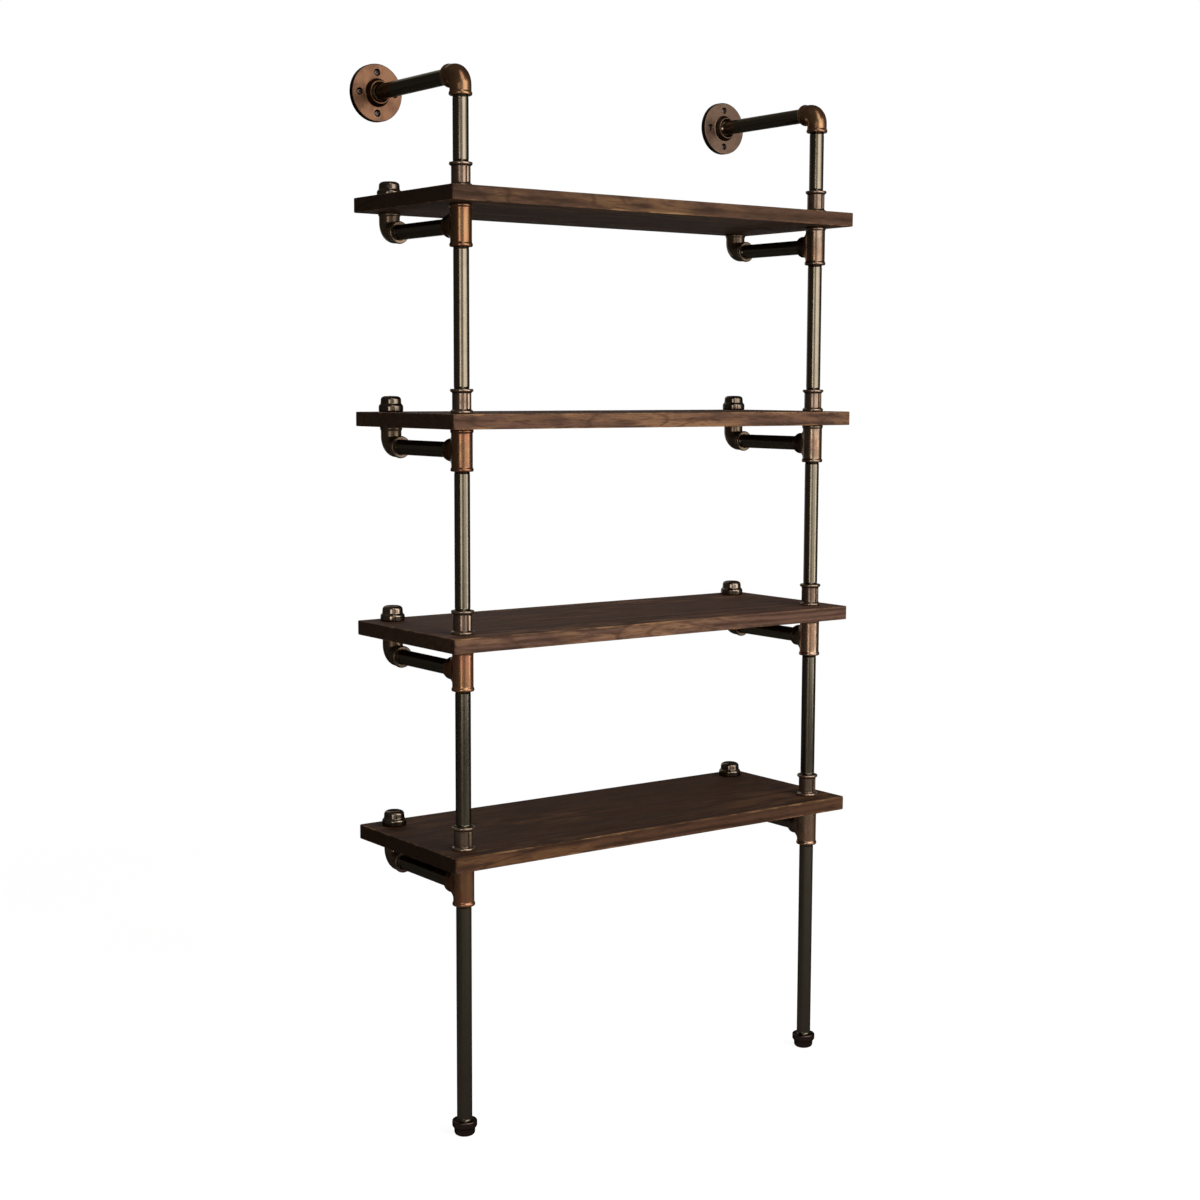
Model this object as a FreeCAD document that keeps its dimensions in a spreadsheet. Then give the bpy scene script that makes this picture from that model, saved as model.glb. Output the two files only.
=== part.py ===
"""Wall-fixed etagere bookcase: four wooden shelves on a frame of threaded steel pipe and iron fittings.

Two uprights stand on capped feet. Under each shelf a tee in the upright sends an arm back to an elbow,
and nipples through the shelf join the tee to a coupling and the elbow to a cap, which clamp the board.
At the top each upright turns back through an elbow and an arm to a round wall flange.

Frame: +X to the right, +Y to the wall, +Z up. The origin is on the floor, midway between the two sides
and midway between the front edge of the shelves and the wall. All sizes are in millimetres.
"""

import FreeCAD
import Part
import Sketcher
import os

SIZES = {
    # Steel pipe of the nominal three-quarter inch size
    "pipe_diameter": 26.7,
    "pipe_wall": 2.9,
    # Places of the uprights, the rear supports and the wall
    "upright_spacing": 790.0,
    "rear_support_distance": 234.0,
    "wall_distance": 283.0,
    # Shelves, with the top face of the lowest one above the floor
    "lowest_shelf_height": 506.0,
    "shelf_pitch": 372.0,
    "shelf_thickness": 26.0,
    "shelf_side_overhang": 49.0,
    "shelf_front_overhang": 53.0,
    "shelf_rear_overhang": 42.0,
    "shelf_corner_radius": 5.0,
    "shelf_edge_chamfer": 1.5,
    "shelf_hole_gap": 0.4,
    # Wall arms, above the top face of the highest shelf
    "wall_arm_rise": 184.0,
    # Threaded joints between pipe and fitting
    "thread_depth": 14.0,
    "thread_gap": 0.2,
    # Tees and elbows, centre to end, with a raised band round every mouth
    "fitting_reach": 35.6,
    "fitting_diameter": 36.4,
    "band_diameter": 39.4,
    "band_width": 4.5,
    "band_slope": 2.5,
    "bend_radius": 19.0,
    # Couplings, with ribs that a wrench grips
    "coupling_length": 41.0,
    "coupling_diameter": 32.4,
    "rib_width": 4.4,
    "rib_height": 2.9,
    "rib_root": 1.0,
    # Caps on the rear supports and under the feet
    "cap_length": 28.0,
    "cap_depth": 21.0,
    "cap_band_diameter": 43.5,
    "cap_band_width": 11.5,
    "cap_shoulder": 2.0,
    "cap_body_diameter": 37.0,
    "cap_crown_diameter": 30.0,
    "cap_crown_height": 4.0,
    # Wall flanges
    "flange_diameter": 100.0,
    "flange_thickness": 11.0,
    "hub_base_diameter": 46.0,
    "hub_tip_diameter": 40.0,
    "hub_height": 11.0,
    "bolt_circle": 70.0,
    "bolt_hole_diameter": 6.0,
    "bolt_sink_diameter": 13.0,
}

SHELF_COUNT = 4
BOLT_COUNT = 4
RIB_COUNT = 2

# How a piece made along +Z is turned before it is placed
UPRIGHT = FreeCAD.Rotation()
TO_WALL = FreeCAD.Rotation(FreeCAD.Vector(1, 0, 0), -90)
TO_FRONT = FreeCAD.Rotation(FreeCAD.Vector(1, 0, 0), 90)
UPSIDE_DOWN = FreeCAD.Rotation(FreeCAD.Vector(1, 0, 0), 180)
BEND_TURN = FreeCAD.Rotation(FreeCAD.Vector(0, 1, 0), 90)

doc = FreeCAD.newDocument("etagere_bookcase")
sheet = doc.addObject("Spreadsheet::Sheet", "Sizes")
for row, (alias, value) in enumerate(SIZES.items(), start=1):
    sheet.set(f"A{row}", alias)
    sheet.set(f"B{row}", str(value))
    sheet.setAlias(f"B{row}", alias)
doc.recompute()

PIPE_RADIUS = "(Sizes.pipe_diameter / 2)"
SOCKET_RADIUS = f"({PIPE_RADIUS} + Sizes.thread_gap)"
FITTING_RADIUS = "(Sizes.fitting_diameter / 2)"
BAND_RADIUS = "(Sizes.band_diameter / 2)"
COUPLING_RADIUS = "(Sizes.coupling_diameter / 2)"
HALF_SPACING = "(Sizes.upright_spacing / 2)"
UPRIGHT_Y = "((Sizes.shelf_front_overhang - Sizes.wall_distance) / 2)"
REAR_SUPPORT_Y = f"({UPRIGHT_Y} + Sizes.rear_support_distance)"
WALL_Y = f"({UPRIGHT_Y} + Sizes.wall_distance)"
ARM_START_Y = f"({UPRIGHT_Y} + Sizes.fitting_reach - Sizes.thread_depth)"


def shelf_top(level):
    """Height of a shelf's top face. Level 1 is the highest shelf."""
    return f"(Sizes.lowest_shelf_height + {SHELF_COUNT - level} * Sizes.shelf_pitch)"


def shelf_bottom(level):
    """Height of a shelf's underside, where the tees and elbows meet it."""
    return f"({shelf_top(level)} - Sizes.shelf_thickness)"


def arm_height(level):
    """Height of the arms under a shelf, on the axis of the tees' branches."""
    return f"({shelf_bottom(level)} - Sizes.fitting_reach)"


WALL_ARM_HEIGHT = f"({shelf_top(1)} + Sizes.wall_arm_rise)"
RISER_START = "(Sizes.coupling_length - Sizes.thread_depth)"
RISER_CUT = "(Sizes.shelf_thickness + 2 * Sizes.fitting_reach - Sizes.thread_depth)"


def new_body(name):
    return doc.addObject("PartDesign::Body", name)


def new_sketch(body, name, role):
    """Start a sketch on one of the body's own origin planes."""
    sketch = body.newObject("Sketcher::SketchObject", name)
    plane = next(feature for feature in body.Origin.OriginFeatures if feature.Role == role)
    sketch.AttachmentSupport = [(plane, "")]
    sketch.MapMode = "FlatFace"
    return sketch


def bind_point(sketch, geometry, point, corner):
    """Hold a point of the sketch at a pair of expressions, on an axis where one of them is 0."""
    across, up = corner
    for kind, axis, place in (("DistanceX", -2, across), ("DistanceY", -1, up)):
        if place == "0":
            sketch.addConstraint(Sketcher.Constraint("PointOnObject", geometry, point, axis))
        else:
            value = float(sketch.evalExpression(place))
            index = sketch.addConstraint(Sketcher.Constraint(kind, -1, 1, geometry, point, value))
            sketch.setExpression(f"Constraints[{index}]", place)


def draw_outline(sketch, corners):
    """Draw a closed outline of straight lines through corners given as pairs of expressions."""
    places = [FreeCAD.Vector(*(float(sketch.evalExpression(part)) for part in corner)) for corner in corners]
    for start, end in zip(places, places[1:] + places[:1]):
        sketch.addGeometry(Part.LineSegment(start, end), False)
    for index, corner in enumerate(corners):
        following = (index + 1) % len(corners)
        sketch.addConstraint(Sketcher.Constraint("Coincident", index, 2, following, 1))
        bind_point(sketch, index, 1, corner)


def draw_circle(sketch, centre, radius):
    """Draw a circle whose centre and radius are given as expressions."""
    place = FreeCAD.Vector(*(float(sketch.evalExpression(part)) for part in centre))
    value = float(sketch.evalExpression(radius))
    geometry = sketch.addGeometry(Part.Circle(place, FreeCAD.Vector(0, 0, 1), value), False)
    bind_point(sketch, geometry, 3, centre)
    index = sketch.addConstraint(Sketcher.Constraint("Radius", geometry, value))
    sketch.setExpression(f"Constraints[{index}]", radius)


def turned_body(name, corners):
    """Make a body by turning an outline of radius and height round its own Z axis."""
    body = new_body(name)
    sketch = new_sketch(body, f"{name}_outline", "XZ_Plane")
    draw_outline(sketch, corners)
    turned = body.newObject("PartDesign::Revolution", f"{name}_turned")
    turned.Profile = sketch
    turned.ReferenceAxis = (sketch, ["V_Axis"])
    turned.Angle = 360.0
    return body


def repeat_round(body, feature, count):
    """Repeat a body's last feature evenly round its own Z axis."""
    pattern = body.newObject("PartDesign::PolarPattern", f"{feature.Name}_round")
    pattern.Originals = [feature]
    pattern.Axis = (feature.Profile[0], ["N_Axis"])
    pattern.Angle = 360.0
    pattern.Occurrences = count
    body.Tip = pattern


def pipe(name, length):
    """Make a length of pipe that stands on its own origin and runs up +Z."""
    body = new_body(name)
    sketch = new_sketch(body, f"{name}_section", "XY_Plane")
    draw_circle(sketch, ("0", "0"), PIPE_RADIUS)
    draw_circle(sketch, ("0", "0"), f"{PIPE_RADIUS} - Sizes.pipe_wall")
    pad = body.newObject("PartDesign::Pad", f"{name}_pad")
    pad.Profile = sketch
    pad.setExpression("Length", length)
    return body


def shelf_board():
    """Make a board with its underside at height 0 and the line of the uprights along its X axis."""
    right = f"{HALF_SPACING} + Sizes.shelf_side_overhang"
    left = f"-{HALF_SPACING} - Sizes.shelf_side_overhang"
    front = "-Sizes.shelf_front_overhang"
    rear = "Sizes.rear_support_distance + Sizes.shelf_rear_overhang"
    body = new_body("shelf_board")
    sketch = new_sketch(body, "shelf_outline", "XY_Plane")
    draw_outline(sketch, [(left, front), (right, front), (right, rear), (left, rear)])
    for across in (f"-{HALF_SPACING}", HALF_SPACING):
        for back in ("0", "Sizes.rear_support_distance"):
            draw_circle(sketch, (across, back), f"{PIPE_RADIUS} + Sizes.shelf_hole_gap")
    pad = body.newObject("PartDesign::Pad", "shelf_pad")
    pad.Profile = sketch
    pad.setExpression("Length", "Sizes.shelf_thickness")
    doc.recompute()

    corners = [
        f"Edge{number}"
        for number, edge in enumerate(pad.Shape.Edges, start=1)
        if edge.Curve.TypeId == "Part::GeomLine" and abs(edge.tangentAt(edge.FirstParameter).z) > 0.5
        and len(edge.Vertexes) == 2
    ]
    rounded = body.newObject("PartDesign::Fillet", "shelf_corners")
    rounded.Base = (pad, corners)
    rounded.setExpression("Radius", "Sizes.shelf_corner_radius")
    doc.recompute()

    rims = [
        edge
        for face in rounded.Shape.Faces
        if abs(face.normalAt(0, 0).z) > 0.5
        for edge in face.OuterWire.Edges
    ]
    eased = body.newObject("PartDesign::Chamfer", "shelf_edges")
    eased.Base = (
        rounded,
        [
            f"Edge{number}"
            for number, edge in enumerate(rounded.Shape.Edges, start=1)
            if any(edge.isSame(rim) for rim in rims)
        ],
    )
    eased.setExpression("Size", "Sizes.shelf_edge_chamfer")
    return body


def coupling():
    """Make a coupling that stands on its own origin: a band at each end and ribs front and back."""
    length = "Sizes.coupling_length"
    waist = "Sizes.band_width + Sizes.band_slope"
    body = turned_body(
        "coupling",
        [
            (SOCKET_RADIUS, "0"),
            (BAND_RADIUS, "0"),
            (BAND_RADIUS, "Sizes.band_width"),
            (COUPLING_RADIUS, waist),
            (COUPLING_RADIUS, f"{length} - ({waist})"),
            (BAND_RADIUS, f"{length} - Sizes.band_width"),
            (BAND_RADIUS, length),
            (SOCKET_RADIUS, length),
        ],
    )
    sketch = new_sketch(body, "rib_section", "XY_Plane")
    sketch.setExpression("AttachmentOffset.Base.z", "Sizes.band_width")
    side = "Sizes.rib_width / 2"
    inner = f"{COUPLING_RADIUS} - Sizes.rib_root"
    outer = f"{COUPLING_RADIUS} + Sizes.rib_height"
    draw_outline(sketch, [(f"-{side}", inner), (side, inner), (side, outer), (f"-{side}", outer)])
    rib = body.newObject("PartDesign::Pad", "rib")
    rib.Profile = sketch
    rib.setExpression("Length", f"{length} - 2 * Sizes.band_width")
    repeat_round(body, rib, RIB_COUNT)
    return body


def cap():
    """Make a cap with its open end at height 0 and its crown up."""
    crown = "Sizes.cap_length - Sizes.cap_crown_height"
    return turned_body(
        "cap",
        [
            (SOCKET_RADIUS, "0"),
            ("Sizes.cap_band_diameter / 2", "0"),
            ("Sizes.cap_band_diameter / 2", "Sizes.cap_band_width"),
            ("Sizes.cap_body_diameter / 2", "Sizes.cap_band_width + Sizes.cap_shoulder"),
            ("Sizes.cap_body_diameter / 2", crown),
            ("Sizes.cap_crown_diameter / 2", "Sizes.cap_length"),
            ("0", "Sizes.cap_length"),
            ("0", "Sizes.cap_depth"),
            (SOCKET_RADIUS, "Sizes.cap_depth"),
        ],
    )


def flange():
    """Make a wall flange with its back at height 0, its hub up and countersunk bolt holes."""
    face = "Sizes.flange_thickness"
    body = turned_body(
        "flange",
        [
            (SOCKET_RADIUS, "0"),
            ("Sizes.flange_diameter / 2", "0"),
            ("Sizes.flange_diameter / 2", face),
            ("Sizes.hub_base_diameter / 2", face),
            ("Sizes.hub_tip_diameter / 2", f"{face} + Sizes.hub_height"),
            (SOCKET_RADIUS, f"{face} + Sizes.hub_height"),
        ],
    )
    sketch = new_sketch(body, "bolt_place", "XY_Plane")
    sketch.setExpression("AttachmentOffset.Base.z", face)
    draw_circle(sketch, ("0", "Sizes.bolt_circle / 2"), "Sizes.bolt_hole_diameter / 2")
    doc.recompute()
    solid_volume = body.Shape.Volume
    hole = body.newObject("PartDesign::Hole", "bolt_hole")
    hole.Profile = sketch
    doc.recompute()
    hole.DepthType = "ThroughAll"
    hole.DrillPoint = "Flat"
    hole.HoleCutType = "Countersink"
    hole.HoleCutCountersinkAngle = 90.0
    hole.setExpression("Diameter", "Sizes.bolt_hole_diameter")
    hole.setExpression("HoleCutDiameter", "Sizes.bolt_sink_diameter")
    doc.recompute()
    repeat_round(body, hole, BOLT_COUNT)
    doc.recompute()
    if not body.Shape.Volume < solid_volume:
        raise RuntimeError("the bolt holes cut nothing from the flange")
    return body


def mouth(name, start):
    """Make one solid leg of a fitting, from a start height to its banded end along +Z."""
    reach = "Sizes.fitting_reach"
    return turned_body(
        name,
        [
            ("0", start),
            (FITTING_RADIUS, start),
            (FITTING_RADIUS, f"{reach} - Sizes.band_width - Sizes.band_slope"),
            (BAND_RADIUS, f"{reach} - Sizes.band_width"),
            (BAND_RADIUS, reach),
            ("0", reach),
        ],
    )


def place(name, source, turn=UPRIGHT, at=("0", "0", "0")):
    """Place a copy of a shape, turned, at three expressions."""
    copy = doc.addObject("Part::Compound", name)
    copy.Links = [source]
    copy.Placement = FreeCAD.Placement(FreeCAD.Vector(), turn)
    for axis, expression in zip("xyz", at):
        if expression != "0":
            copy.setExpression(f"Placement.Base.{axis}", expression)
    return copy


def socket_bore(name, turn=UPRIGHT):
    """Make the cutter for one threaded socket, from the fitting's centre outwards."""
    bore = doc.addObject("Part::Cylinder", name)
    bore.setExpression("Radius", SOCKET_RADIUS)
    bore.setExpression("Height", "Sizes.fitting_reach")
    bore.Placement = FreeCAD.Placement(FreeCAD.Vector(), turn)
    return bore


def bend(name, radius):
    """Make a quarter bend that leads from the -Y leg of an elbow into its +Z leg."""
    torus = doc.addObject("Part::Torus", name)
    torus.setExpression("Radius1", "Sizes.bend_radius")
    torus.setExpression("Radius2", radius)
    torus.Angle3 = 90.0
    torus.Placement = FreeCAD.Placement(FreeCAD.Vector(), BEND_TURN)
    torus.setExpression("Placement.Base.y", "-Sizes.bend_radius")
    torus.setExpression("Placement.Base.z", "Sizes.bend_radius")
    return torus


def straight_bore(name, turn):
    """Make the cutter for an elbow's leg, from the end of its bend outwards."""
    bore = doc.addObject("Part::Cylinder", name)
    bore.setExpression("Radius", SOCKET_RADIUS)
    bore.setExpression("Height", "Sizes.fitting_reach - Sizes.bend_radius")
    bore.Placement = FreeCAD.Placement(FreeCAD.Vector(), turn)
    axis, sign = ("y", "-") if turn == TO_FRONT else ("z", "")
    bore.setExpression(f"Placement.Base.{axis}", f"{sign}Sizes.bend_radius")
    return bore


def hollow(name, outer_shapes, inner_shapes):
    """Fuse the outer shapes and cut the fused inner shapes out of them."""
    outer = doc.addObject("Part::MultiFuse", f"{name}_outer")
    outer.Shapes = outer_shapes
    outer.Refine = True
    inner = doc.addObject("Part::MultiFuse", f"{name}_inner")
    inner.Shapes = inner_shapes
    inner.Refine = True
    cut = doc.addObject("Part::Cut", name)
    cut.Base = outer
    cut.Tool = inner
    cut.Refine = True
    return cut


def tee():
    """Make a tee round its own centre, with its run along Z and its branch towards +Y."""
    leg = mouth("tee_mouth", "0")
    turns = {"up": UPRIGHT, "down": UPSIDE_DOWN, "back": TO_WALL}
    legs = [place(f"tee_leg_{side}", leg, turn) for side, turn in turns.items()]
    bores = [socket_bore(f"tee_bore_{side}", turn) for side, turn in turns.items()]
    return hollow("tee", legs, bores)


def elbow():
    """Make an elbow round the crossing of its axes, with its legs towards -Y and +Z."""
    leg = mouth("elbow_mouth", "Sizes.bend_radius")
    turns = {"up": UPRIGHT, "front": TO_FRONT}
    legs = [place(f"elbow_leg_{side}", leg, turn) for side, turn in turns.items()]
    bores = [straight_bore(f"elbow_bore_{side}", turn) for side, turn in turns.items()]
    return hollow(
        "elbow",
        [bend("elbow_bend", FITTING_RADIUS), *legs],
        [bend("elbow_bend_bore", SOCKET_RADIUS), *bores],
    )


def both_sides(name, source, turn=UPRIGHT, along=UPRIGHT_Y):
    """Place a piece on the left and on the right side of the bookcase, at height 0."""
    pair = doc.addObject("Part::Compound", name)
    pair.Links = [
        place(f"{name}_left", source, turn, (f"-{HALF_SPACING}", along, "0")),
        place(f"{name}_right", source, turn, (HALF_SPACING, along, "0")),
    ]
    return pair


parts = []


def add_part(label, source, height="0", along="0"):
    """Place a finished sub-part at its height under its own label."""
    part = place(f"part_{label}", source, at=("0", along, height))
    part.Label = label
    parts.append(part)


def add_shelf_levels():
    """Add each shelf with the fittings and arms that carry and clamp it."""
    arm_length = "Sizes.rear_support_distance - 2 * (Sizes.fitting_reach - Sizes.thread_depth)"
    board = shelf_board()
    tees = both_sides("tee_pair", tee_piece)
    couplings = both_sides("coupling_pair", coupling())
    arms = both_sides("arm_pair", pipe("shelf_arm", arm_length), TO_WALL, ARM_START_Y)
    elbows = both_sides("rear_elbow_pair", elbow_piece, along=REAR_SUPPORT_Y)
    caps = both_sides("rear_cap_pair", cap_piece, along=REAR_SUPPORT_Y)
    for level in range(1, SHELF_COUNT + 1):
        add_part(f"shelf_{level}", board, shelf_bottom(level), UPRIGHT_Y)
        add_part(f"tees_{level}", tees, arm_height(level))
        add_part(f"couplings_{level}", couplings, shelf_top(level))
        add_part(f"shelf_arms_{level}", arms, arm_height(level))
        add_part(f"rear_elbows_{level}", elbows, arm_height(level))
        add_part(f"rear_caps_{level}", caps, shelf_top(level))


def add_nipples():
    """Add the short pipes through the shelves, one sub-part for the front row and one for the rear."""
    nipple = pipe("nipple", "Sizes.shelf_thickness + 2 * Sizes.thread_depth")
    for row, along in (("front", UPRIGHT_Y), ("rear", REAR_SUPPORT_Y)):
        pair = both_sides(f"{row}_nipple_pair", nipple, along=along)
        group = doc.addObject("Part::Compound", f"{row}_nipple_group")
        starts = {level: f"{shelf_bottom(level)} - Sizes.thread_depth" for level in range(1, SHELF_COUNT + 1)}
        group.Links = [
            place(f"{row}_nipples_at_{level}", pair, at=("0", "0", start)) for level, start in starts.items()
        ]
        add_part(f"{row}_nipples", group)


def add_uprights():
    """Add the vertical pipes from the feet to the top elbows."""
    leg_start = "(Sizes.cap_length - Sizes.thread_depth)"
    leg_end = f"({shelf_bottom(SHELF_COUNT)} - 2 * Sizes.fitting_reach + Sizes.thread_depth)"
    legs = both_sides("leg_pair", pipe("leg", f"{leg_end} - {leg_start}"))
    add_part("leg_pipes", legs, leg_start)
    risers = both_sides("riser_pair", pipe("riser", f"Sizes.shelf_pitch - {RISER_START} - {RISER_CUT}"))
    for level in range(2, SHELF_COUNT + 1):
        add_part(f"riser_pipes_{level}", risers, f"{shelf_top(level)} + {RISER_START}")
    top_length = f"Sizes.wall_arm_rise - {RISER_START} - Sizes.fitting_reach + Sizes.thread_depth"
    tops = both_sides("top_pair", pipe("top_pipe", top_length))
    add_part("top_pipes", tops, f"{shelf_top(1)} + {RISER_START}")
    feet = both_sides("foot_cap_pair", cap_piece, UPSIDE_DOWN)
    add_part("foot_caps", feet, "Sizes.cap_length")


def add_wall_fixing():
    """Add the top elbows, the arms to the wall and their flanges."""
    hub_end = "(Sizes.wall_distance - Sizes.flange_thickness - Sizes.hub_height)"
    arm_length = f"{hub_end} + Sizes.thread_depth - Sizes.fitting_reach + Sizes.thread_depth"
    elbows = both_sides("top_elbow_pair", elbow_piece, UPSIDE_DOWN)
    arms = both_sides("wall_arm_pair", pipe("wall_arm", arm_length), TO_WALL, ARM_START_Y)
    flanges = both_sides("flange_pair", flange(), TO_FRONT, WALL_Y)
    add_part("top_elbows", elbows, WALL_ARM_HEIGHT)
    add_part("wall_arms", arms, WALL_ARM_HEIGHT)
    add_part("wall_flanges", flanges, WALL_ARM_HEIGHT)


def check_model():
    """Stop if any feature failed or any sub-part has no sound shape."""
    doc.recompute()
    for feature in doc.Objects:
        if "Invalid" in feature.State or "Error" in feature.State:
            raise RuntimeError(f"{feature.Name} failed: {feature.State}")
    for part in parts:
        if part.Shape.isNull() or not part.Shape.isValid() or not part.Shape.Solids:
            raise RuntimeError(f"{part.Label} has no valid solid")


def write_parts():
    """Write one STEP file for each sub-part, named after its label."""
    os.makedirs("parts", exist_ok=True)
    for part in parts:
        part.Shape.exportStep(f"parts/{part.Label}.step")
        print(f"{part.Label}: {len(part.Shape.Solids)} solids, {part.Shape.Volume / 1000:.1f} cm3")


cap_piece = cap()
tee_piece = tee()
elbow_piece = elbow()
add_shelf_levels()
add_nipples()
add_uprights()
add_wall_fixing()
check_model()
write_parts()
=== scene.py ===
"""Looks of a wall-fixed etagere bookcase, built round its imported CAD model.

Four dark stained boards are clamped to a frame of threaded pipe and cast fittings. Every piece is turned,
bent or cast as the real one is, takes its place from the boxes of the CAD nodes and stands for those nodes.
Lengths are in metres. +X is to the right, +Y is to the wall and +Z is up.
"""

import logging
import math
from collections.abc import Collection, Sequence
from dataclasses import dataclass, replace
from enum import Enum

import bmesh
import bpy
from bmesh.types import BMEdge, BMesh, BMFace, BMVert
from mathutils import Matrix, Vector, noise

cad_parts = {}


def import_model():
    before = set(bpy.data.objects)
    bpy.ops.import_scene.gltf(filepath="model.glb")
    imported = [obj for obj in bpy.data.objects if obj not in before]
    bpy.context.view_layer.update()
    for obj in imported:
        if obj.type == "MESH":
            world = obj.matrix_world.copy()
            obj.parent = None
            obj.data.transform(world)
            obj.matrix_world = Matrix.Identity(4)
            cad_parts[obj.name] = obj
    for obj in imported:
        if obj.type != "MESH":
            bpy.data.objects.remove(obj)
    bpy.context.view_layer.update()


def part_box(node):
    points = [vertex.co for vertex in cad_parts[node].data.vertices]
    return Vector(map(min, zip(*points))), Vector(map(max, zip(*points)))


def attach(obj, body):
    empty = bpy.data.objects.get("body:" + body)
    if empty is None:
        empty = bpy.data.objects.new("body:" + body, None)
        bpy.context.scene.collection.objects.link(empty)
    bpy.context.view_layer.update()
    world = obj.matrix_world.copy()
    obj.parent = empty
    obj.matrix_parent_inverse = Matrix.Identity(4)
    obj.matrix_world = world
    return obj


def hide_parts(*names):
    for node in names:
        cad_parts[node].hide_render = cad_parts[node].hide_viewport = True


LOG = logging.getLogger("etagere")
BODY = "root"
MM = 0.001
SOCKET_BORE = 13.55 * MM
BEAD_RADIUS = 19.7 * MM
MERGE_DISTANCE = 0.002 * MM
UP = Vector((0, 0, 1))
Colour = tuple[float, float, float]
Range = tuple[float, float]
Profile = Sequence[tuple[float, float]]


class Side(Enum):
    """The two sides of the bookcase, as signs along X."""

    LEFT = -1
    RIGHT = 1

    @property
    def label(self) -> str:
        """The side's name in a piece's name."""
        return self.name.lower()


class Facing(Enum):
    """Where a piece made along +Z points, as the turn about X in degrees that brings it there."""

    UP = 0
    DOWN = 180
    WALL = -90
    FRONT = 90


class Slot(Enum):
    """The record's material slots."""

    WOOD = "shelf_wood"
    PIPE = "pipe_steel"
    FITTING = "fitting_copper"
    CAP = "cap_iron"
    FLANGE = "flange_copper"


class NodeSheet:
    """A node tree that is filled one node at a time."""

    def __init__(self, tree: bpy.types.NodeTree) -> None:
        """Empty the node tree of a material or of the world and start on it."""
        tree.nodes.clear()
        self.tree = tree

    def node(self, kind: str, inputs: dict | None = None, **settings: object) -> bpy.types.Node:
        """Add a node.

        Args:
            kind: The node's Blender type.
            inputs: A value or an output socket for each named or numbered input.
            **settings: Values of the node's own properties.

        Returns:
            The new node.
        """
        node = self.tree.nodes.new(kind)
        for name, value in settings.items():
            setattr(node, name, value)
        for key, value in (inputs or {}).items():
            if isinstance(value, bpy.types.NodeSocket):
                self.tree.links.new(value, node.inputs[key])
            else:
                node.inputs[key].default_value = value
        return node

    def coordinate(self, kind: str = "Object") -> bpy.types.NodeSocket:
        """Return one of the texture coordinates."""
        return self.node("ShaderNodeTexCoord").outputs[kind]

    def part(self, where: object, axis: str) -> bpy.types.NodeSocket:
        """Return the X, Y or Z part of a coordinate."""
        return self.node("ShaderNodeSeparateXYZ", {0: where}).outputs[axis]

    def math(self, operation: str, *values: object, clamp: bool = False) -> bpy.types.NodeSocket:
        """Return the result of a Math node on up to three values or sockets."""
        node = self.node("ShaderNodeMath", dict(enumerate(values)), operation=operation, use_clamp=clamp)
        return node.outputs[0]

    def product(self, first: object, second: object) -> bpy.types.NodeSocket:
        """Return the product of two values or sockets."""
        return self.math("MULTIPLY", first, second)

    def less(self, first: object, second: object) -> bpy.types.NodeSocket:
        """Return what is left of the first value or socket without the second."""
        return self.math("SUBTRACT", first, second)

    def fade(self, value: object, low: float, high: float, start: float = 0.0, end: float = 1.0) -> object:
        """Return a value carried smoothly from one range to another and held at its ends."""
        inputs = {"Value": value, "From Min": low, "From Max": high, "To Min": start, "To Max": end}
        return self.node("ShaderNodeMapRange", inputs, interpolation_type="SMOOTHSTEP").outputs[0]

    def blend(self, share: object, first: object, second: object) -> bpy.types.NodeSocket:
        """Return the mix of two colours, which is the second where the share is 1."""
        node = self.node("ShaderNodeMix", {0: share, 6: opaque(first), 7: opaque(second)}, data_type="RGBA")
        return node.outputs[2]

    def noise(self, where: object, scale: float, detail: float, rough: float) -> bpy.types.NodeSocket:
        """Return the value of a noise texture read at a coordinate."""
        inputs = {"Vector": where, "Scale": scale, "Detail": detail, "Roughness": rough}
        return self.node("ShaderNodeTexNoise", inputs).outputs[0]

    def mapped(self, where: object, scale: Sequence[float], offset: Sequence[float]) -> object:
        """Return a coordinate that is moved and then stretched along each axis."""
        inputs = {"Vector": where, "Location": offset, "Scale": scale}
        return self.node("ShaderNodeMapping", inputs).outputs[0]

    def coat(self, skin: dict, relief: dict) -> None:
        """Show a Principled surface with a fine relief.

        Args:
            skin: The inputs of the surface.
            relief: The inputs of its bump.
        """
        bump = self.node("ShaderNodeBump", relief)
        self.show(self.node("ShaderNodeBsdfPrincipled", skin | {"Normal": bump.outputs[0]}))

    def show(self, shader: bpy.types.Node, target: str = "Material") -> None:
        """Send a shader to the output of a material or of the world."""
        self.node(f"ShaderNodeOutput{target}", {"Surface": shader.outputs[0]})


def opaque(colour: object) -> object:
    """Return a colour with an alpha of 1, or a socket as it is."""
    return (*colour, 1.0) if isinstance(colour, tuple) else colour


def new_material(name: str) -> tuple[bpy.types.Material, NodeSheet]:
    """Return an empty node material and the sheet for its nodes."""
    material = bpy.data.materials.new(name)
    material.use_nodes = True
    return material, NodeSheet(material.node_tree)


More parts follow.
